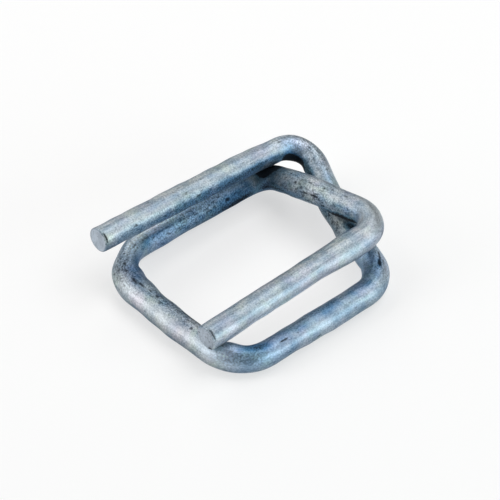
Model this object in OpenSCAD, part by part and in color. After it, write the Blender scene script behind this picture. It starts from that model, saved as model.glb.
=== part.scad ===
// Strapping buckle, cold bent from one length of round galvanised wire.
// It lies on its base loop. X runs along the strap bars, with both cut tips at -X and the crossing legs at +X.
// Y runs from the front bar to the back bar, and Z is up. All sizes are to the wire's centre line unless stated.

/* [Wire] */
// Wire diameter
wire_d = 3.3; // [2.8:0.1:3.6]
// Bevel that the shear leaves round each cut tip
tip_bevel = 0.25; // [0.05:0.05:0.6]
// Loss of wire diameter in the bends, where the former draws the wire thin
bend_thin = 0.06; // [0.04:0.02:0.2]

/* [Base loop] */
// Depth of the loop, front bar to back bar
loop_depth = 26; // [24:0.5:30]
// Length of the front bar, from the side bar to its corner with the under leg
front_len = 24.6; // [20:0.2:27]
// Length of the back bar, from the side bar to its corner with the over leg
back_len = 27; // [24:0.2:30]
// Bend radius where the front bar meets the side bar
front_side_r = 5.4; // [3.4:0.1:7]
// Bend radius where the side bar meets the back bar
back_side_r = 7.2; // [4.8:0.1:9]
// Bend radius where the under leg comes down to the front bar
front_leg_r = 5.3; // [3.3:0.1:7]
// Bend radius where the back bar turns up into the over leg
back_leg_r = 3.7; // [2.4:0.1:5]

/* [Rear prong] */
// Reach of the rear prong's tip past the side bar
rear_tip_over = 1.4; // [0.2:0.1:2.6]
// Offset of the rear prong to the inside of the back bar
rear_inset = 0.9; // [0:0.1:1.1]
// Gap in plan between the rear prong's bend and the back bar's corner
rear_bend_out = 2.75; // [2.2:0.05:4]
// Gap between the back bar and the rear prong at its tip
rear_tip_rise = 2.2; // [1.8:0.1:3.6]
// Gap between the back bar and the rear prong at its bend
rear_bend_rise = 0.35; // [0.3:0.05:1.2]
// Bend radius where the rear prong turns into the under leg
rear_bend_r = 3.5; // [2.2:0.1:4.6]

/* [Crossing legs] */
// Set of the over leg's knee towards the tips, from the back bar's corner
over_knee_in = 0.4; // [0:0.1:1.4]
// Distance of the over leg's knee from the back bar
over_knee_back = 10.7; // [9.6:0.1:12.4]
// Height of the over leg at its knee, clear of the top of the base loop
over_knee_rise = 0.7; // [0.4:0.05:1.1]
// Lap in plan of the two legs at their knees
knee_lap = 1.6; // [0.4:0.1:1.8]
// Step along Y from the over leg's knee to the under leg's knee
knee_step = 2.3; // [1.3:0.1:3.6]
// Height of the under leg at its knee, clear of the floor
under_knee_lift = 0.7; // [0.1:0.05:1]
// Bend radius of both knees
knee_r = 10; // [7:0.5:13]

/* [Middle prong] */
// Reach of the middle prong's tip past the side bar
mid_tip_over = 1.6; // [0.3:0.1:2.8]
// Distance of the middle prong's tip from the front bar
mid_tip_in = 4.3; // [3:0.1:6]
// Distance of the middle prong's bend from the front bar
mid_bend_in = 4.1; // [3:0.1:5.6]
// Reach of the middle prong's bend past the back bar's corner
mid_bend_out = 1.2; // [0:0.1:2.2]
// Gap between the side bar and the middle prong at its tip
mid_tip_rise = 0.12; // [0.06:0.02:1]
// Height of the middle prong at its bend, clear of the top of the base loop
mid_bend_rise = 1.75; // [0.8:0.05:3]
// Bend radius where the over leg turns into the middle prong
mid_bend_r = 3.6; // [2.6:0.1:5]

/* [Hidden] */
$fn = 48;

// Length over which each straight run closes round the thinner end of a bend
run_lap = 0.2;

// Heights of the wire's centre: lying on the floor, and lying on top of another run
on_floor = wire_d / 2;
on_loop = wire_d / 2 + wire_d;

// Places that several runs share
rear_y = loop_depth - rear_inset;
over_knee_x = back_len - over_knee_in;
over_knee_y = loop_depth - over_knee_back;

// Corners of the centre line, in the order in which the wire is bent
rear_tip = [-rear_tip_over, rear_y, on_loop + rear_tip_rise];
rear_bend = [back_len + wire_d + rear_bend_out, rear_y, on_loop + rear_bend_rise];
under_knee = [over_knee_x + wire_d - knee_lap, over_knee_y - knee_step, on_floor + under_knee_lift];
front_leg = [front_len, 0, on_floor];
front_side = [0, 0, on_floor];
back_side = [0, loop_depth, on_floor];
back_leg = [back_len, loop_depth, on_floor];
over_knee = [over_knee_x, over_knee_y, on_loop + over_knee_rise];
mid_bend = [back_len + mid_bend_out, mid_bend_in, on_loop + mid_bend_rise];
mid_tip = [-mid_tip_over, mid_tip_in, on_loop + mid_tip_rise];

corner = [
    rear_tip, rear_bend, under_knee, front_leg, front_side,
    back_side, back_leg, over_knee, mid_bend, mid_tip
];
bend_r = [
    0, rear_bend_r, knee_r, front_leg_r, front_side_r,
    back_side_r, back_leg_r, knee_r, mid_bend_r, 0
];
runs = len(corner) - 1;

function unit(v) = v / norm(v);

// Direction of run i, which goes from corner i to corner i + 1
function heading(i) = unit(corner[i + 1] - corner[i]);

// Angle that the wire is turned through at corner i
function bend_angle(i) = acos(heading(i - 1) * heading(i));

// Length that the bend at corner i takes from the runs on both sides of it
function setback(i) = bend_r[i] * tan(bend_angle(i) / 2);

// Straight length of run i, between its bends
function run_len(i) =
    norm(corner[i + 1] - corner[i])
    - (i > 0 ? setback(i) : 0)
    - (i < runs - 1 ? setback(i + 1) : 0);

// Direction to the inside of the bend at corner i, square to the run that enters it and to the run that leaves it
function inside_entering(i) = unit(heading(i) - (heading(i) * heading(i - 1)) * heading(i - 1));
function inside_leaving(i) = unit((heading(i) * heading(i - 1)) * heading(i) - heading(i - 1));

// Turn of the wire about its own axis between the bend at corner i - 1 and the bend at corner i
function twist(i) =
    i == 1 ? 0 : atan2(
        cross(inside_leaving(i - 1), inside_entering(i)) * heading(i - 1),
        inside_leaving(i - 1) * inside_entering(i)
    );

// Outermost X of the rear bend, which sets the buckle's length with the side bar's outer face
bend_in = rear_bend - heading(0) * setback(1);
bend_centre = bend_in + inside_entering(1) * rear_bend_r;
bend_normal = unit(cross(heading(0), heading(1)));
bend_reach = bend_centre.x + rear_bend_r * sqrt(1 - bend_normal.x * bend_normal.x) + (wire_d - bend_thin) / 2;
tips_reach = max(wire_d / 2, rear_tip_over, mid_tip_over);
middle_x = (bend_reach - tips_reach) / 2;

// Frame of the rear tip: Z along the rear prong, X to the inside of its bend
tip_x = inside_entering(1);
tip_y = cross(heading(0), tip_x);
tip_z = heading(0);
tip_frame = [
    [tip_x.x, tip_y.x, tip_z.x, rear_tip.x],
    [tip_x.y, tip_y.y, tip_z.y, rear_tip.y],
    [tip_x.z, tip_y.z, tip_z.z, rear_tip.z],
    [0, 0, 0, 1]
];

// Bend that starts along Z at the origin and turns towards X
module wire_bend(radius, angle) {
    translate([radius, 0, 0])
        rotate([90, 0, 180])
            rotate_extrude(angle = angle)
                translate([radius, 0])
                    circle(d = wire_d - bend_thin);
}

// Straight length along Z, lapped over the bends at its ends or cut to a bevelled tip
module wire_run(length, tip_at_start, tip_at_end) {
    start = tip_at_start ? tip_bevel : -run_lap;
    end = tip_at_end ? length - tip_bevel : length + run_lap;
    translate([0, 0, start])
        cylinder(d = wire_d, h = end - start);
    if (tip_at_start)
        cylinder(d1 = wire_d - 2 * tip_bevel, d2 = wire_d, h = tip_bevel);
    if (tip_at_end)
        translate([0, 0, length - tip_bevel])
            cylinder(d1 = wire_d, d2 = wire_d - 2 * tip_bevel, h = tip_bevel);
}

// Rest of the wire from run i on, fed along Z, twisted and bent as on a wire former
module wire_from(i) {
    wire_run(run_len(i), i == 0, i == runs - 1);
    if (i < runs - 1)
        translate([0, 0, run_len(i)])
            rotate([0, 0, twist(i + 1)]) {
                wire_bend(bend_r[i + 1], bend_angle(i + 1));
                translate([bend_r[i + 1], 0, 0])
                    rotate([0, bend_angle(i + 1), 0])
                        translate([-bend_r[i + 1], 0, 0])
                            wire_from(i + 1);
            }
}

// The whole buckle, with its base loop on the floor and the middle of its box at X = 0 and Y = 0
module wire_buckle() {
    color("lightsteelblue")
        translate([-middle_x, -loop_depth / 2, 0])
            multmatrix(tip_frame)
                wire_from(0);
}

wire_buckle();
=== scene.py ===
import math

import bpy
from mathutils import Matrix, Vector, noise


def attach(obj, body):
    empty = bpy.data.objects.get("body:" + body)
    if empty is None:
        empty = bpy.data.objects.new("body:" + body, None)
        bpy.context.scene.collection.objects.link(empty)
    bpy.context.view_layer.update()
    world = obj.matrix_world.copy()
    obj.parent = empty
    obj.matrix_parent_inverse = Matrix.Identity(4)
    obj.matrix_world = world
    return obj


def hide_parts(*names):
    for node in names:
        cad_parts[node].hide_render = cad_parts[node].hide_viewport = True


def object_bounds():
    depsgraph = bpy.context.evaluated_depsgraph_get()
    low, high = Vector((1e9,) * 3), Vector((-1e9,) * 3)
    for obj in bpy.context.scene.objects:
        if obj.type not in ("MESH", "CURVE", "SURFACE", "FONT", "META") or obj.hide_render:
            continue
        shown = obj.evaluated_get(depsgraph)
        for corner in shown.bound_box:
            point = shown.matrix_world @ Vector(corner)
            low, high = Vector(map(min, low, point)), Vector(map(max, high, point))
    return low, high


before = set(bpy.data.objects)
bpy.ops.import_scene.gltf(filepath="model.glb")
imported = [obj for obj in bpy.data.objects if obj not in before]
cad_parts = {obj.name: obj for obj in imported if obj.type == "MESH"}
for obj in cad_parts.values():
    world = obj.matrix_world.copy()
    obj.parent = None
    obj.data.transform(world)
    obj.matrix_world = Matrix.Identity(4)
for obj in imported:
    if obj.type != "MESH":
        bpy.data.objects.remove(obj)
cad_low, cad_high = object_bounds()

# Wire buckle.
# One length of round galvanised steel wire, cold bent on a former into a flat base loop whose two ends
# cross and come back above it as prongs. It is sheared to length, and nothing is fixed to it.
MM = 0.001
wire_d = 3.3 * MM
on_floor = wire_d / 2
on_loop = wire_d / 2 + wire_d

# Base loop: its depth, its bars and bends, and the side bar's bow, which springs out at its middle.
loop_depth = 26 * MM
front_len = 24.6 * MM
back_len = 27 * MM
front_leg_r = 5.3 * MM
front_side_r = 5.4 * MM
back_side_r = 7.2 * MM
back_leg_r = 3.7 * MM
side_bow = 0.2 * MM
side_bow_at = 11 * MM
side_bow_r = 60 * MM

# Rear prong: its tip's reach, its set to the inside of the back bar, and its gaps over the back bar.
rear_tip_over = 1.4 * MM
rear_inset = 0.9 * MM
rear_bend_out = 2.75 * MM
rear_tip_rise = 2.2 * MM
rear_bend_rise = 0.35 * MM
rear_bend_r = 3.5 * MM

# Crossing legs: the over leg's knee, and how the under leg's knee lies to it.
over_knee_in = 0.4 * MM
over_knee_back = 10.7 * MM
over_knee_rise = 0.7 * MM
knee_lap = 1.6 * MM
knee_step = 2.3 * MM
under_knee_lift = 0.7 * MM
knee_r = 10 * MM

# Middle prong: its tip, and the bend that it comes from.
mid_tip_over = 1.6 * MM
mid_tip_in = 4.3 * MM
mid_tip_rise = 0.12 * MM
mid_bend_in = 4.1 * MM
mid_bend_out = 1.2 * MM
mid_bend_rise = 1.75 * MM
mid_bend_r = 3.6 * MM

# Corners of the wire's centre line in the order in which it is bent, each with its bend radius.
# The side bar's centre is at X = 0, and the front bar's at Y = 0.
rear_y = loop_depth - rear_inset
over_knee_x = back_len - over_knee_in
over_knee_y = loop_depth - over_knee_back
route = [
    (Vector((-rear_tip_over, rear_y, on_loop + rear_tip_rise)), 0),
    (Vector((back_len + wire_d + rear_bend_out, rear_y, on_loop + rear_bend_rise)), rear_bend_r),
    (Vector((over_knee_x + wire_d - knee_lap, over_knee_y - knee_step, on_floor + under_knee_lift)), knee_r),
    (Vector((front_len, 0, on_floor)), front_leg_r),
    (Vector((0, 0, on_floor)), front_side_r),
    (Vector((-side_bow, side_bow_at, on_floor)), side_bow_r),
    (Vector((0, loop_depth, on_floor)), back_side_r),
    (Vector((back_len, loop_depth, on_floor)), back_leg_r),
    (Vector((over_knee_x, over_knee_y, on_loop + over_knee_rise)), knee_r),
    (Vector((back_len + mid_bend_out, mid_bend_in, on_loop + mid_bend_rise)), mid_bend_r),
    (Vector((-mid_tip_over, mid_tip_in, on_loop + mid_tip_rise)), 0),
]

# The mesh is made of rings round the centre line. They stand closer together towards the rounded tips.
ring_step = 0.16 * MM
ring_sides = 72
tip_steps = [
    far * MM for far in (0.0, 0.03, 0.07, 0.12, 0.17, 0.22, 0.28, 0.34, 0.41, 0.49, 0.58, 0.7)
]


def stations(route, step):
    """Points along the centre line, each with its direction and a vector to the inside of its bend.

    That vector's length is 1 / radius of the bend, so it is nothing on a straight.
    """
    found = []
    start = route[0][0]
    for i in range(1, len(route)):
        here, radius = route[i]
        run = (here - route[i - 1][0]).normalized()
        end = here
        if radius:
            leave = (route[i + 1][0] - here).normalized()
            angle = run.angle(leave)
            end = here - run * radius * math.tan(angle / 2)
        length = (end - start).length
        count = max(2, round(length / step))
        marks = [length * k / count for k in range(count)]
        if i == 1:
            marks = tip_steps + [m for m in marks if m > tip_steps[-1] + step / 3]
        if i == len(route) - 1:
            marks = [m for m in marks if m < length - tip_steps[-1] - step / 3]
            marks += [length - m for m in tip_steps[:0:-1]]
        for mark in marks:
            found.append((start + run * mark, run, Vector()))
        start = end
        if radius:
            inside = (leave - run * leave.dot(run)).normalized()
            centre = end + inside * radius
            count = max(2, round(radius * angle / step))
            for k in range(count):
                turn = angle * k / count
                out = -inside * math.cos(turn) + run * math.sin(turn)
                along = run * math.cos(turn) + inside * math.sin(turn)
                found.append((centre + out * radius, along, -out / radius))
            start = centre + (-inside * math.cos(angle) + run * math.sin(angle)) * radius
    found.append((start, run, Vector()))
    return found


line = stations(route, ring_step)
travel = [0.0]
for before, after in zip(line, line[1:]):
    travel.append(travel[-1] + (after[0] - before[0]).length)
wire_len = travel[-1]

# The bends' squeeze is smoothed along the wire, so that each bend runs out softly into its straights.
smooth_passes = 40
squeeze = [turn.copy() for point, along, turn in line]
for smooth_pass in range(smooth_passes):
    squeeze = [
        (squeeze[max(i - 1, 0)] + squeeze[i] * 2 + squeeze[min(i + 1, len(line) - 1)]) / 4
        for i in range(len(line))
    ]

# Places where the zinc is thick or the wire is pinched. Each has its distance along the wire from the
# rear tip in mm, its angle round the wire from the top in degrees, its half length in mm, its half width
# in degrees, and its height in mm.
swellings = [
    # Rear prong and its bend
    (0.26, 50, 0.12, 28, -0.10), (29.5, -70, 3.2, 50, -0.22), (29.2, -20, 1.8, 45, -0.14),
    (31.5, 112, 2.0, 45, 0.14), (29.8, 127, 2.0, 40, 0.12), (32.3, -35, 1.8, 45, 0.12),
    # Under leg and its bend to the front bar
    (43.0, 105, 2.0, 45, 0.30), (48.6, 105, 1.8, 45, 0.36), (53.1, 102, 1.6, 45, 0.10),
    (56.5, 85, 2.5, 50, 0.18), (57.8, -85, 2.5, 45, 0.12), (60.8, 70, 2.0, 45, 0.14),
    # Front bar and its bend to the side bar
    (66.5, -120, 3.0, 45, 0.12), (80.0, -130, 3.0, 50, 0.12), (81.6, 45, 1.6, 45, 0.25),
    # Side bar and its bend to the back bar
    (93.0, -105, 7.0, 60, 0.28), (91.0, 80, 5.0, 50, 0.14), (98.6, 65, 2.4, 50, 0.42),
    (101.4, 75, 1.6, 45, 0.34), (100.6, -105, 2.2, 50, 0.20), (102.6, -75, 1.8, 45, 0.14),
    (104.3, 85, 1.6, 45, -0.14), (105.6, -80, 2.6, 50, -0.22), (106.5, 100, 1.6, 45, -0.18),
    # Back bar and over leg
    (110.5, 115, 3.0, 45, 0.12), (121.5, 115, 4.0, 45, 0.20), (126.2, 120, 2.0, 45, 0.16),
    (136.5, 118, 4.0, 45, 0.12), (143.0, 115, 2.5, 45, 0.20),
    # Middle bend and middle prong
    (150.0, -95, 2.0, 45, 0.12), (152.8, -118, 2.4, 45, 0.22), (155.8, -118, 2.2, 45, 0.26),
    (155.0, 48, 1.8, 40, 0.12), (175.2, -120, 2.0, 40, 0.10), (177.72, -42, 0.12, 42, -0.09),
]

# Bare spots, scratches and streaks of soot in the zinc: distance along the wire in mm, angle in degrees,
# half length and half width in mm, and strength.
scars = [
    # Rear prong
    (0.26, 50, 0.15, 0.85, 1.2), (5.0, 62, 0.45, 0.20, 0.8), (8.4, -11, 0.40, 0.18, 0.7),
    (12.2, 6, 0.25, 0.20, 0.7), (15.3, 73, 0.40, 0.20, 0.8), (16.7, 11, 0.25, 0.20, 0.7),
    (19.8, 95, 0.45, 0.22, 0.9), (21.8, 34, 0.25, 0.18, 0.6), (29.9, 22, 0.60, 0.18, 0.7),
    # Rear bend and under leg
    (34.4, 6, 0.25, 0.20, 1.0), (36.6, 28, 0.25, 0.18, 0.7), (38.5, -22, 0.30, 0.20, 0.9),
    (46.2, 73, 0.40, 0.28, 0.8),
    # Bend from the under leg to the front bar
    (54.5, -27, 0.50, 0.15, 1.1), (55.3, -21, 0.50, 0.17, 1.5), (56.1, -15, 0.60, 0.23, 2.2),
    # Front bar and its bend to the side bar
    (72.5, -28, 0.25, 0.15, 0.7), (69.9, -96, 0.40, 0.20, 0.9), (74.8, -25.5, 0.75, 0.14, 1.3),
    (79.7, -54, 1.10, 0.45, 0.65),
    # Side bar
    (87.6, -13, 0.30, 0.26, 1.0), (89.2, 42, 2.60, 0.22, 1.3), (90.4, 36, 1.20, 0.14, 0.9),
    (92.4, 38, 1.40, 0.18, 1.0), (93.8, -11, 0.30, 0.22, 0.8), (94.8, 9, 0.50, 0.28, 1.1),
    (96.2, 8, 0.60, 0.18, 0.8), (97.6, 2, 0.85, 0.20, 1.1), (99.0, -4, 0.90, 0.24, 1.2),
    # Bend from the side bar to the back bar
    (101.0, -9, 0.45, 0.25, 1.0), (101.5, -39, 0.40, 0.24, 0.8), (102.2, -6, 0.45, 0.30, 1.0),
    (103.3, -22, 0.35, 0.20, 0.8), (104.2, -11, 0.35, 0.22, 0.9), (106.0, 18, 0.50, 0.20, 0.9),
    # Back bar, with a long dark line along its top, right under the rear prong
    (108.4, 31, 1.80, 0.24, 0.70), (111.8, 38, 2.20, 0.24, 0.70), (115.2, 44, 2.40, 0.20, 0.65),
    (119.0, 47, 2.40, 0.18, 0.6), (114.8, 90, 0.40, 0.20, 0.9), (119.7, 67, 0.40, 0.22, 0.9),
    (121.8, 67, 0.45, 0.28, 1.2),
    # Over leg
    (133.4, 28, 0.25, 0.22, 0.8), (134.7, 11, 0.30, 0.22, 0.8), (136.5, 45, 0.35, 0.24, 1.1),
    (138.5, 11, 0.25, 0.22, 0.7), (138.6, 73, 0.60, 0.18, 1.0), (140.0, 70, 0.90, 0.22, 1.1),
    (140.9, 19, 0.30, 0.20, 0.8), (142.0, 7, 0.30, 0.20, 0.8), (144.4, 11, 0.80, 0.26, 0.7),
    # Middle bend and middle prong
    (149.0, -35, 0.40, 0.22, 0.7), (150.5, -90, 0.50, 0.28, 0.7), (160.0, -4, 0.90, 0.14, 0.6),
    (160.7, -45, 0.40, 0.18, 0.6), (162.6, 19, 0.70, 0.18, 0.6), (177.72, -42, 0.14, 1.20, 0.9),
    # A dark spot at the foot of the middle tip, where it meets the side bend.
    (177.88, -150, 0.26, 0.55, 1.5),
]

# Stretches that the former and the handling left dirtier: distance in mm, angle, half length in mm,
# half width in degrees, and strength.
grime_least = 0.05
grimy = [
    (15.0, 10, 16.0, 40, 0.12), (14.0, 95, 14.0, 42, 0.60), (34.0, 0, 6.0, 70, 0.45),
    (45.0, 70, 4.5, 60, 0.60), (56.0, -10, 4.0, 60, 0.40), (67.0, 12, 8.0, 26, 0.30),
    (79.5, -40, 2.5, 40, 0.25), (92.0, 18, 7.0, 36, 0.65), (102.5, -10, 5.5, 60, 0.60),
    (116.0, 60, 10.0, 60, 0.62), (138.0, 20, 8.0, 60, 0.42), (139.0, 85, 9.0, 50, 0.65),
]

# Stretches painted paler, above 0, or darker and bluer, below 0: as above. They are partly the zinc's own
# uneven tone and partly painted light and shade: paler where a flank should catch more light, darker and
# bluer on flanks and in crooks that lie in shade or mirror dark surroundings. Where they add up to more than
# 1 the zinc takes a painted highlight, and to less than -1 a near black painted shade, as in the crooks.
tone_and_light_marks = [
    # Rear prong and its bend
    (20.0, 100, 15.0, 38, -0.75), (12.0, 92, 13.0, 26, -0.6), (23.0, 85, 5.0, 24, -0.3),
    (26.3, 75, 3.2, 15, -0.9), (21.0, 104, 1.6, 16, -0.3), (15.0, 5, 14.0, 22, -0.22),
    (16.0, 124, 14.0, 12, -0.8), (10.0, 47, 14.0, 14, 0.55), (33.0, 44, 3.4, 26, 1.3),
    (32.8, 112, 2.2, 25, -8.5), (35.4, 90, 1.6, 22, -2.0), (36.6, 52, 1.8, 20, -0.8),
    (27.3, 104, 1.6, 24, 0.9), (1.5, 45, 1.8, 20, 0.5),
    # Under leg and its bend to the front bar
    (38.4, 62, 2.2, 28, -1.2), (39.5, -45, 2.6, 30, 0.9), (40.0, -12, 1.4, 18, -0.4),
    (49.1, 12, 1.4, 22, -1.9), (43.5, 65, 2.5, 50, -0.5), (46.5, 84, 2.5, 26, -0.4),
    (53.5, 64, 1.8, 32, -0.5), (53.0, -15, 1.5, 30, 0.5), (57.0, 5, 5.0, 30, -0.3),
    (55.8, -46, 2.8, 22, 1.4), (56.1, -15, 0.5, 6, -3.0), (55.4, 48, 2.0, 18, 0.6),
    (58.0, 22, 2.0, 20, 0.4),
    # Front bar and its bend to the side bar
    (68.0, 0, 12.0, 34, -0.6), (67.0, -12, 10.0, 16, -0.25), (67.0, -46, 10.0, 12, 0.3),
    (61.0, -88, 3.0, 40, -0.4), (76.0, -90, 2.8, 36, -0.75), (78.3, 0, 2.0, 32, -1.25),
    (81.5, -108, 2.5, 26, -0.5), (82.3, -36, 2.2, 52, 2.1), (80.8, -14, 1.1, 20, -0.55),
    # Side bar and its bend to the back bar
    (91.0, -62, 8.0, 34, 0.7), (94.0, -108, 9.0, 20, -0.8), (93.0, -14, 7.0, 16, -0.35),
    (98.5, -45, 3.0, 30, 0.9), (98.5, -12, 2.0, 18, -0.4), (94.6, 15, 3.0, 22, -0.45),
    (100.4, 45, 4.0, 35, -0.35), (100.8, 15, 2.0, 20, -0.6), (100.6, -15, 1.6, 18, 0.5),
    (103.6, -15, 3.0, 18, -0.6), (103.6, 80, 2.2, 30, -1.0), (105.6, 15, 3.2, 28, 1.3),
    # Back bar and its bend to the over leg
    (112.8, 13, 7.0, 18, 2.0), (121.0, 14, 3.0, 18, 0.8), (109.5, 48, 3.0, 20, -0.7),
    (116.0, 65, 8.0, 40, -0.3), (111.5, 106, 3.5, 24, -0.5), (122.5, 95, 7.0, 48, -1.0),
    (122.0, 110, 4.0, 26, -0.55), (129.8, -4, 1.4, 40, -8.0), (129.3, 16, 1.3, 24, -3.0),
    (127.2, 55, 1.1, 45, 0.4), (129.4, 96, 1.9, 36, -0.75), (124.4, 108, 2.6, 24, -0.55),
    (125.6, 45, 1.6, 24, -0.6), (111.0, 36, 5.0, 9, -0.8),
    # Over leg
    (133.0, 10, 3.0, 80, -0.6), (135.5, 14, 3.0, 18, -0.5), (133.2, 107, 4.0, 24, -1.3),
    (145.0, 119, 4.0, 26, -2.6), (143.4, 67, 3.6, 14, -0.6), (143.8, 38, 3.6, 15, 0.65),
    # Middle bend and middle prong
    (148.7, -34, 2.8, 40, 0.9), (149.4, 48, 2.0, 20, 1.7), (149.8, -98, 2.0, 28, -0.6),
    (153.0, 52, 1.6, 22, -1.3), (152.8, -45, 1.8, 22, 0.3), (154.0, -82, 3.0, 24, -0.45),
    (167.0, -112, 13.0, 34, 1.9), (172.0, -106, 3.0, 22, 0.4), (161.0, 16, 13.0, 22, -0.5),
]

# Stretches tinted bluer, above 0, or browner, below 0: as above. They are partly the zinc's own tint and
# partly a painted blue reflection on flanks.
tint_and_reflection_marks = [
    # Rear prong and its bend
    (14.0, -5, 9.0, 30, -0.4), (18.0, 108, 12.0, 30, 0.5), (32.5, 50, 2.6, 32, 1.2),
    # Under leg and its bend to the front bar
    (38.0, 68, 3.0, 36, -0.8), (40.0, -25, 2.2, 34, 0.45), (46.2, 60, 4.0, 60, -1.0),
    (55.0, 10, 4.0, 90, 0.7), (58.2, 28, 2.4, 26, 0.6),
    # Front bar and its bend to the side bar
    (68.0, -25, 9.0, 90, 0.3), (79.8, -40, 3.6, 72, 1.0),
    # Side bar and its bend to the back bar
    (91.0, -108, 9.0, 24, -0.6), (103.5, 28, 5.0, 60, 0.55),
    # Back bar and its bend to the over leg
    (113.0, 75, 7.0, 70, 0.7), (118.0, 15, 8.0, 24, 0.6), (120.5, 25, 4.0, 28, 0.4),
    (117.0, 108, 3.0, 20, -0.7), (124.5, 95, 4.0, 60, 0.9), (126.8, 75, 2.0, 50, -0.6),
    # Over leg
    (132.0, 0, 2.8, 80, -1.4), (145.0, 115, 4.0, 30, -0.7),
    # Middle bend and middle prong
    (148.4, 60, 2.0, 36, 0.5), (156.5, 5, 5.0, 45, -0.45), (164.0, 18, 8.0, 18, -0.5),
    (167.0, -110, 13.0, 40, 0.35),
]

# A mark has faded out at three times its half length from its middle.
mark_reach = 3


def near(marks, far):
    """The marks that reach a distance in mm along the wire."""
    return [mark for mark in marks if abs(far - mark[0]) < mark_reach * mark[2]]


def turn_between(first, second):
    return (first - second + 180) % 360 - 180


def left_of(mark, far, angle):
    """What is left of a mark's height or strength at a distance in mm and an angle in degrees."""
    middle, round_to, half_len, half_width, strength = mark
    gone = ((far - middle) / half_len) ** 2 + (turn_between(angle, round_to) / half_width) ** 2
    return strength * math.exp(-gone)


# Each ring is drawn thin where a bend squeezes it, and lumpy and grainy with its coat of zinc.
thin_in_bend = 0.14
coat_lump = 0.09 * MM
coat_lump_size = 2.3 * MM
coat_grain = 0.006 * MM
coat_grain_size = 0.45 * MM
tip_round = 0.17 * MM
points = []
places = []
strains = []
scarred = []
grimes = []
tone_and_light_values = []
blues = []
for i, (point, along, turn) in enumerate(line):
    up = (Vector((0, 0, 1)) - along * along.z).normalized()
    side = along.cross(up)
    far = travel[i] / MM
    to_tip = min(travel[i], wire_len - travel[i])
    bend = squeeze[i] * wire_d / 2
    near_swellings = near(swellings, far)
    near_scars = near(scars, far)
    near_grimy = near(grimy, far)
    near_tone_and_light = near(tone_and_light_marks, far)
    near_tint_and_reflection = near(tint_and_reflection_marks, far)
    for k in range(ring_sides):
        angle = 360 * k / ring_sides
        up_share = math.cos(math.radians(angle))
        side_share = math.sin(math.radians(angle))
        out = up * up_share + side * side_share
        place = Vector((up_share, side_share, 0)) * wire_d / 2
        place.z = travel[i]
        strain = -bend.dot(out)
        radius = wire_d / 2 * (1 - thin_in_bend * strain * strain)
        radius += coat_lump * noise.noise(place / coat_lump_size)
        radius += coat_grain * noise.noise(place / coat_grain_size)
        for mark in near_swellings:
            radius += left_of(mark, far, angle) * MM
        if to_tip < tip_round:
            radius -= tip_round - math.sqrt(tip_round * tip_round - (tip_round - to_tip) ** 2)
        scar = 0.0
        for middle, round_to, half_len, half_width, strength in near_scars:
            off = math.radians(turn_between(angle, round_to)) * wire_d / 2 / MM
            gone = ((far - middle) / half_len) ** 2 + (off / half_width) ** 2
            scar = max(scar, strength * math.exp(-gone))
        grime = grime_least
        for mark in near_grimy:
            grime = max(grime, left_of(mark, far, angle))
        # Painted light and shade, with some of the zinc's own tone, added up from the tone marks.
        tone_and_light = 0.0
        for mark in near_tone_and_light:
            tone_and_light += left_of(mark, far, angle)
        # Blue or brown tint, partly a painted reflection.
        blue = 0.0
        for mark in near_tint_and_reflection:
            blue += left_of(mark, far, angle)
        spot = point + out * radius
        spot.z = max(spot.z, 0)
        points.append(spot)
        places.append(place)
        strains.append(strain)
        scarred.append(scar)
        grimes.append(grime)
        tone_and_light_values.append(tone_and_light)
        blues.append(blue)

faces = []
for i in range(len(line) - 1):
    for k in range(ring_sides):
        a = i * ring_sides + k
        b = i * ring_sides + (k + 1) % ring_sides
        faces.append((a, b, b + ring_sides, a + ring_sides))

# The sheared end faces are rings drawn in to a middle point, a little hollow where the wire broke through.
tip_rings = 12
tip_hollow = 0.06 * MM
tip_break = 0.05 * MM
tip_break_size = 0.5 * MM
nick_fade = 6
tip_faces = []
for first, along, tip_grime, tip_tone in (
    (0, -line[0][1], 0.2, 0.1),
    ((len(line) - 1) * ring_sides, line[-1][1], 0.4, -0.25),
):
    edge = points[first:first + ring_sides]
    middle = sum(edge, Vector()) / ring_sides
    ring = list(range(first, first + ring_sides))
    for step in range(1, tip_rings + 1):
        share = 1 - step / tip_rings
        new_ring = []
        for k in range(ring_sides if share else 1):
            spot = middle + (edge[k] - middle) * share
            rough = noise.noise(spot / tip_break_size)
            depth = tip_hollow * (1 - share * share) + tip_break * rough * (1 - share)
            points.append(spot - along * depth)
            places.append(places[first + k] * share + Vector((0, 0, places[first].z * (1 - share))))
            strains.append(0.0)
            scarred.append(scarred[first + k] * share ** nick_fade)
            grimes.append(tip_grime)
            tone_and_light_values.append(tip_tone)
            blues.append(0.0)
            new_ring.append(len(points) - 1)
        for k in range(ring_sides):
            a, b = ring[k], ring[(k + 1) % ring_sides]
            c, d = new_ring[(k + 1) % len(new_ring)], new_ring[k % len(new_ring)]
            corners = (a, b, c, d) if share else (a, b, d)
            tip_faces.append(corners if first else corners[::-1])
        ring = new_ring

to_frame = Vector((cad_low[0] + wire_d / 2, -loop_depth / 2, 0))
wire_mesh = bpy.data.meshes.new("wire_buckle")
wire_mesh.from_pydata([p + to_frame for p in points], [], faces + tip_faces)
wire_mesh.update()
wire_mesh.polygons.foreach_set("use_smooth", [True] * len(wire_mesh.polygons))
wire_mesh.polygons.foreach_set("material_index", [0] * len(faces) + [1] * len(tip_faces))
wire_mesh.attributes.new("place_on_wire", "FLOAT_VECTOR", "POINT").data.foreach_set(
    "vector", [x for p in places for x in p]
)
for name, values in (
    ("bend_strain", strains),
    ("grime", grimes),
    ("scar", scarred),
    ("tone_and_light", tone_and_light_values),
    ("blue", blues),
):
    wire_mesh.attributes.new(name, "FLOAT", "POINT").data.foreach_set("value", values)
wire = bpy.data.objects.new("galvanised_wire", wire_mesh)
bpy.context.scene.collection.objects.link(wire)


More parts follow.
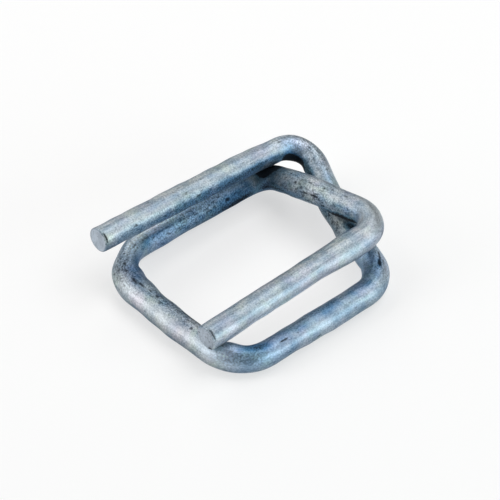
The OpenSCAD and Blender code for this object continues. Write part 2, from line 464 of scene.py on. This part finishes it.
def node(tree, kind, inputs, **settings):
    """A node whose inputs are plain values or the outputs of other nodes."""
    made = tree.nodes.new(kind)
    for name, value in settings.items():
        setattr(made, name, value)
    for socket, value in inputs.items():
        if isinstance(value, bpy.types.NodeSocket):
            tree.links.new(value, made.inputs[socket])
        else:
            made.inputs[socket].default_value = value
    return made


def read(tree, name, socket="Fac"):
    return node(tree, "ShaderNodeAttribute", {}, attribute_name=name).outputs[socket]


def stretch(tree, place, amounts):
    return node(tree, "ShaderNodeVectorMath", {0: place, 1: amounts}, operation="MULTIPLY").outputs[0]


def mottle(tree, place, per_metre, detail):
    sockets = {"Vector": place, "Scale": per_metre, "Detail": detail}
    return node(tree, "ShaderNodeTexNoise", sockets).outputs["Fac"]


def ramp(tree, value, low, high, start=0.0, end=1.0):
    sockets = {"Value": value, "From Min": low, "From Max": high, "To Min": start, "To Max": end}
    return node(tree, "ShaderNodeMapRange", sockets, interpolation_type="SMOOTHSTEP").outputs["Result"]


def sum_of(tree, first, second, times=1.0):
    """First + second * times."""
    return node(tree, "ShaderNodeMath", {0: second, 1: times, 2: first}, operation="MULTIPLY_ADD").outputs[0]


def greater(tree, first, second):
    return node(tree, "ShaderNodeMath", {0: first, 1: second}, operation="MAXIMUM").outputs[0]


def tint(tree, amount, colour, other, way="MIX"):
    sockets = {0: amount, 6: colour, 7: other}
    return node(tree, "ShaderNodeMix", sockets, data_type="RGBA", blend_type=way).outputs[2]


# Cloud, grain and dark specks, which the zinc coat and the zinc smeared over the sheared tips share.
zinc_grain = bpy.data.node_groups.new("zinc_grain", "ShaderNodeTree")
for name, kind in (("Place", "NodeSocketVector"), ("Grime", "NodeSocketFloat"), ("Scar", "NodeSocketFloat")):
    zinc_grain.interface.new_socket(name, in_out="INPUT", socket_type=kind)
for name in ("Cloud", "Grain", "Dark"):
    zinc_grain.interface.new_socket(name, in_out="OUTPUT", socket_type="NodeSocketFloat")
group_in = zinc_grain.nodes.new("NodeGroupInput")
group_out = zinc_grain.nodes.new("NodeGroupOutput")
place = group_in.outputs["Place"]
cloud = ramp(zinc_grain, mottle(zinc_grain, place, per_metre=520, detail=4), 0.32, 0.68)
grain = ramp(zinc_grain, mottle(zinc_grain, place, per_metre=4800, detail=3), 0.28, 0.72)
blots = mottle(zinc_grain, stretch(zinc_grain, place, (1, 1, 0.6)), per_metre=2500, detail=5)
dirty = sum_of(zinc_grain, blots, group_in.outputs["Grime"], 0.22)
specks = ramp(zinc_grain, dirty, 0.62, 0.84, 0.0, 0.85)
ragged = sum_of(zinc_grain, -0.5, mottle(zinc_grain, place, per_metre=2600, detail=4))
scar = ramp(zinc_grain, sum_of(zinc_grain, group_in.outputs["Scar"], ragged, 1.2), 0.22, 1.0)
dark = greater(zinc_grain, specks, scar)
for name, value in (("Cloud", cloud), ("Grain", grain), ("Dark", dark)):
    zinc_grain.links.new(value, group_out.inputs[name])

# Zinc coat: blue grey, mottled, drawn out along the wire, and paler where a bend stretched it. The tone
# stretches make it paler or darker, partly as painted light and shade, and where they add up far enough it
# takes a painted highlight or a near black painted shade.
zinc_blue = (0.085, 0.167, 0.26, 1)
zinc_pale = (0.49, 0.53, 0.555, 1)
# The colour of a painted highlight, where the tone marks add up past 1.
painted_highlight_zinc = (0.78, 0.82, 0.85, 1)
zinc_gloss = (0.62, 0.66, 0.70, 1)
blue_cast = (0.76, 1.0, 1.25, 1)
brown_cast = (1.16, 1.0, 0.84, 1)
lilac_cast = (1.07, 0.985, 1.015, 1)
green_cast = (1.0, 1.025, 0.91, 1)
# Near black: the dark specks and scars, and the painted shade in the crooks.
speck_and_shade_dark = (0.008, 0.011, 0.015, 1)
dark_cover = 0.85
# Tone levels at which the painted highlight, and below 0 the painted crook shade, begin and are full.
highlight_from = 1.0
highlight_full = 2.4
crook_shade_from = -1.0
crook_shade_full = -2.0
crook_shade_cover = 0.97
zinc = bpy.data.materials.new("zinc_coat")
zinc.use_nodes = True
tree = zinc.node_tree
shader = tree.nodes["Principled BSDF"]
place = read(tree, "place_on_wire", "Vector")
coat = node(tree, "ShaderNodeGroup", {}, node_tree=zinc_grain)
for socket, value in (("Place", place), ("Grime", read(tree, "grime")), ("Scar", read(tree, "scar"))):
    tree.links.new(value, coat.inputs[socket])
cloud, grain, dark = coat.outputs["Cloud"], coat.outputs["Grain"], coat.outputs["Dark"]
uneven = sum_of(tree, -0.5, grain)
drawn_place = stretch(tree, place, (1, 1, 0.07))
drawn = ramp(tree, mottle(tree, drawn_place, per_metre=4200, detail=2), 0.3, 0.7)
tone_and_light = read(tree, "tone_and_light")
pale = sum_of(tree, sum_of(tree, sum_of(tree, 0.22, cloud, 0.32), grain, 0.16), drawn, 0.1)
# The tone marks make it paler or darker: partly the zinc's own tone, partly painted light and shade.
pale = sum_of(tree, sum_of(tree, pale, read(tree, "bend_strain"), 0.3), tone_and_light, 0.5)
colour = tint(tree, pale, zinc_blue, zinc_pale)
# Painted highlight where the tone marks add up past 1.
colour = tint(tree, ramp(tree, tone_and_light, highlight_from, highlight_full), colour, painted_highlight_zinc)
blue = read(tree, "blue")
# Blue or brown tint from the tint marks, partly a painted reflection.
colour = tint(tree, blue, colour, blue_cast, "MULTIPLY")
colour = tint(tree, sum_of(tree, 0.0, blue, -1.0), colour, brown_cast, "MULTIPLY")
spread = sum_of(tree, 0.4, read(tree, "grime"), 1.2)
shade = sum_of(tree, sum_of(tree, 0.95, uneven, spread), drawn, 0.10)
colour = tint(tree, 1.0, colour, shade, "MULTIPLY")
lilac = ramp(tree, mottle(tree, place, per_metre=330, detail=3), 0.45, 0.7)
green_place = stretch(tree, place, (1, -1, 1))
green = ramp(tree, mottle(tree, green_place, per_metre=420, detail=4), 0.48, 0.72)
colour = tint(tree, lilac, colour, lilac_cast, "MULTIPLY")
colour = tint(tree, green, colour, green_cast, "MULTIPLY")
# Painted near black shade in the crooks, where the tone marks add up below -1; it joins the dark specks.
crook_shade = ramp(tree, sum_of(tree, tone_and_light, uneven, 0.5), crook_shade_from, crook_shade_full, 0.0, crook_shade_cover)
black = greater(tree, sum_of(tree, 0.0, dark, dark_cover), crook_shade)
colour = tint(tree, black, colour, speck_and_shade_dark)
tree.links.new(colour, shader.inputs["Base Color"])
tree.links.new(sum_of(tree, sum_of(tree, 0.40, grain, 0.16), black, 0.3), shader.inputs["Roughness"])
tree.links.new(sum_of(tree, 0.88, black, -0.88), shader.inputs["Metallic"])
shader.inputs["Specular IOR Level"].default_value = 0.1
shader.inputs["Specular Tint"].default_value = zinc_gloss
relief = sum_of(tree, sum_of(tree, grain, drawn, 0.4), dark, -0.8)
bump = node(tree, "ShaderNodeBump", {"Strength": 0.4, "Distance": 0.03 * MM, "Height": relief})
tree.links.new(bump.outputs["Normal"], shader.inputs["Normal"])
wire_mesh.materials.append(zinc)

# Sheared tips: bare steel with the shear's fine lines across it, and zinc dragged over it from the edge.
steel_grey = (0.26, 0.305, 0.36, 1)
tip_zinc = (0.51, 0.58, 0.66, 1)
sheared = bpy.data.materials.new("sheared_tip")
sheared.use_nodes = True
tree = sheared.node_tree
shader = tree.nodes["Principled BSDF"]
place = read(tree, "place_on_wire", "Vector")
coat = node(tree, "ShaderNodeGroup", {}, node_tree=zinc_grain)
for socket, value in (("Place", place), ("Grime", read(tree, "grime")), ("Scar", read(tree, "scar"))):
    tree.links.new(value, coat.inputs[socket])
cloud, grain, dark = coat.outputs["Cloud"], coat.outputs["Grain"], coat.outputs["Dark"]
cut_place = stretch(tree, place, (0.12, 1, 1))
cut_lines = ramp(tree, mottle(tree, cut_place, per_metre=5200, detail=2), 0.3, 0.7)
pale = sum_of(tree, sum_of(tree, sum_of(tree, -0.05, cloud, 0.55), grain, 0.3), cut_lines, 0.4)
pale = sum_of(tree, pale, read(tree, "tone_and_light"), 0.5)
colour = tint(tree, pale, steel_grey, tip_zinc)
colour = tint(tree, sum_of(tree, 0.0, dark, dark_cover), colour, speck_and_shade_dark)
tree.links.new(colour, shader.inputs["Base Color"])
tree.links.new(sum_of(tree, 0.42, grain, 0.15), shader.inputs["Roughness"])
shader.inputs["Metallic"].default_value = 0.8
relief = sum_of(tree, sum_of(tree, grain, cut_lines, 0.8), dark, -0.6)
bump = node(tree, "ShaderNodeBump", {"Strength": 0.35, "Distance": 0.03 * MM, "Height": relief})
tree.links.new(bump.outputs["Normal"], shader.inputs["Normal"])
wire_mesh.materials.append(sheared)

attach(wire, "root")
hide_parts("wire_buckle")

# Floor.
# A pale matt table top that the buckle lies on. It runs past the picture on all sides and keeps the shadow.
floor_half = 1.0
floor_glow = 0.6
paper_white = (0.9, 0.9, 0.9, 1)
floor_corners = [
    (-floor_half, -floor_half, 0),
    (floor_half, -floor_half, 0),
    (floor_half, floor_half, 0),
    (-floor_half, floor_half, 0),
]
floor_mesh = bpy.data.meshes.new("floor")
floor_mesh.from_pydata(floor_corners, [], [(0, 1, 2, 3)])
floor = bpy.data.objects.new("floor", floor_mesh)
bpy.context.scene.collection.objects.link(floor)
paper = bpy.data.materials.new("white_paper")
paper.use_nodes = True
tree = paper.node_tree
shader = tree.nodes["Principled BSDF"]
shader.inputs["Base Color"].default_value = paper_white
shader.inputs["Roughness"].default_value = 0.9
ray = node(tree, "ShaderNodeLightPath", {}).outputs
seen = greater(tree, ray["Is Camera Ray"], ray["Is Glossy Ray"])
seen = greater(tree, seen, ray["Is Transmission Ray"])
glow = node(tree, "ShaderNodeEmission", {"Color": (1, 1, 1, 1), "Strength": 1.0})
glow_share = sum_of(tree, 0.0, seen, floor_glow)
backing = node(tree, "ShaderNodeMixShader", {0: glow_share, 1: shader.outputs[0], 2: glow.outputs[0]})
tree.links.new(backing.outputs[0], tree.nodes["Material Output"].inputs["Surface"])
floor_mesh.materials.append(paper)

# Light.
# Soft boxes all round the table: a big one overhead on the right, one behind, one at the front right, and low
# ones at the back and at the front. The room itself is dark.
room_grey = (0.5, 0.52, 0.55, 1)
world = bpy.data.worlds.new("room")
bpy.context.scene.world = world
world.use_nodes = True
world.node_tree.nodes["Background"].inputs["Color"].default_value = room_grey
world.node_tree.nodes["Background"].inputs["Strength"].default_value = 0.02
lamp_away = 0.6


def soft_box(name, bearing, height, width, tall, power, colour=(1, 1, 1)):
    """A soft box aimed at the buckle, with its bearing from +X and its height in degrees."""
    lamp = bpy.data.lights.new(name, "AREA")
    lamp.shape = "RECTANGLE"
    lamp.size = width
    lamp.size_y = tall
    lamp.energy = power
    lamp.color = colour
    box = bpy.data.objects.new(name, lamp)
    turn = math.radians(bearing)
    rise = math.radians(height)
    level = math.cos(rise)
    box.location = lamp_away * Vector((level * math.cos(turn), level * math.sin(turn), math.sin(rise)))
    box.rotation_euler = (-box.location).to_track_quat("-Z", "Y").to_euler()
    bpy.context.scene.collection.objects.link(box)


soft_box("overhead_box", 0, 63, 0.42, 0.45, 1.85)
soft_box("back_box", 113, 48, 0.55, 0.30, 1.25)
soft_box("front_right_box", 315, 48, 0.30, 0.30, 0.55)
soft_box("back_right_box", 60, 27, 0.30, 0.30, 0.75, (1.0, 0.93, 0.84))
soft_box("back_left_box", 150, 20, 0.32, 0.34, 1.30)
soft_box("front_strip", 292, 14, 0.55, 0.26, 2.10, (0.88, 1.0, 1.0))

# Camera.
# It looks down on the open tips from the front left, through a long lens.
bearing = math.radians(-41.37)
height = math.radians(41.68)
roll = math.radians(-0.16)
camera_away = 0.397
side_bar_x = to_frame.x
aim = Vector((side_bar_x + 13.2 * MM, 0.2 * MM, 2.64 * MM))
aim_right = 0.18 * MM
aim_up = 1.63 * MM
level = math.cos(height)
back = Vector((math.sin(bearing) * level, -math.cos(bearing) * level, math.sin(height)))
right = Vector((0, 0, 1)).cross(back).normalized()
upward = back.cross(right)
right, upward = (
    right * math.cos(roll) + upward * math.sin(roll),
    upward * math.cos(roll) - right * math.sin(roll),
)
look_at = aim + right * aim_right + upward * aim_up
turned = Matrix((right, upward, back)).transposed().to_4x4()
camera = bpy.data.objects.new("camera", bpy.data.cameras.new("camera"))
camera.data.sensor_width = 36
camera.data.lens = 226.6
camera.data.clip_start = 0.01
camera.data.clip_end = 10
camera.matrix_world = Matrix.Translation(look_at + back * camera_away) @ turned
bpy.context.scene.collection.objects.link(camera)
bpy.context.scene.camera = camera
bpy.context.scene.view_settings.view_transform = "Standard"
